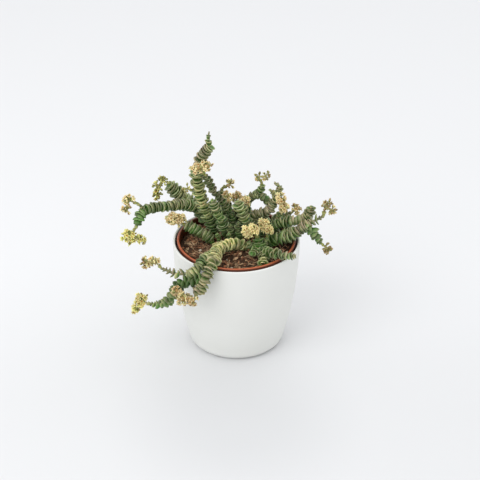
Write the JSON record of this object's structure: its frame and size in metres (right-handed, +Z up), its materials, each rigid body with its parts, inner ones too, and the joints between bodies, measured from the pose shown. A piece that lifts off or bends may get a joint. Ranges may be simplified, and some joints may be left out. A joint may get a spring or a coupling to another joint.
{
  "type": "potted jade necklace crassula",
  "caption": "Potted succulent with stacked leaf pairs like beads on a string and cream flower heads, in a nursery pot inside a plain white cover pot.",
  "frame": {"origin": "centre of the cover pot's base, where it stands", "axes": "+Z up, the front of the pot faces -Y, +X to the right seen from the front"},
  "size_m": [0.2116, 0.1477, 0.229],
  "materials": {
    "cachepot": "satin white",
    "nursery_pot": "matte red-brown",
    "soil": "coarse bark and peat",
    "leaves": "waxy grey-green with pale edges",
    "flowers": "soft cream petals and brown buds"
  },
  "bodies": {
    "root": {"cachepot": "cachepot", "nursery_pot": "nursery_pot", "soil": "soil", "stem_tall": "leaves", "stem_front_upright": "leaves", "stem_slim_open": "leaves", "stem_slim_back": "leaves", "stem_middle": "leaves", "stem_middle_back": "leaves", "stem_arched_back": "leaves", "stem_right_upright": "leaves", "stem_right_slim": "leaves", "stem_right_long": "leaves", "stem_right_forked": "leaves", "stem_front_clump": "leaves", "stem_front_arch": "leaves", "stem_left_low": "leaves", "stem_left_forked": "leaves", "shoot_middle_hidden": "leaves", "shoot_right_inner": "leaves", "shoot_middle_left": "leaves", "shoot_middle_front": "leaves", "shoot_middle_low": "leaves", "shoot_left_low": "leaves", "shoot_back_right": "leaves", "shoot_right_low": "leaves", "head_tall_side": "flowers", "head_slim_open": "flowers", "head_slim_back": "flowers", "head_back_left": "flowers", "head_back_middle": "flowers", "head_back_right": "flowers", "head_arched": "flowers", "head_right_column": "flowers", "head_right_small": "flowers", "head_far_right": "flowers", "head_right_low": "flowers", "head_front_left": "flowers", "head_front_right": "flowers", "head_arch_side": "flowers", "head_arch_end": "flowers", "head_arch_low": "flowers", "head_left_low": "flowers", "head_left_hanging": "flowers", "head_left_upper": "flowers", "head_left_back": "flowers"}
  },
  "joints": []
}
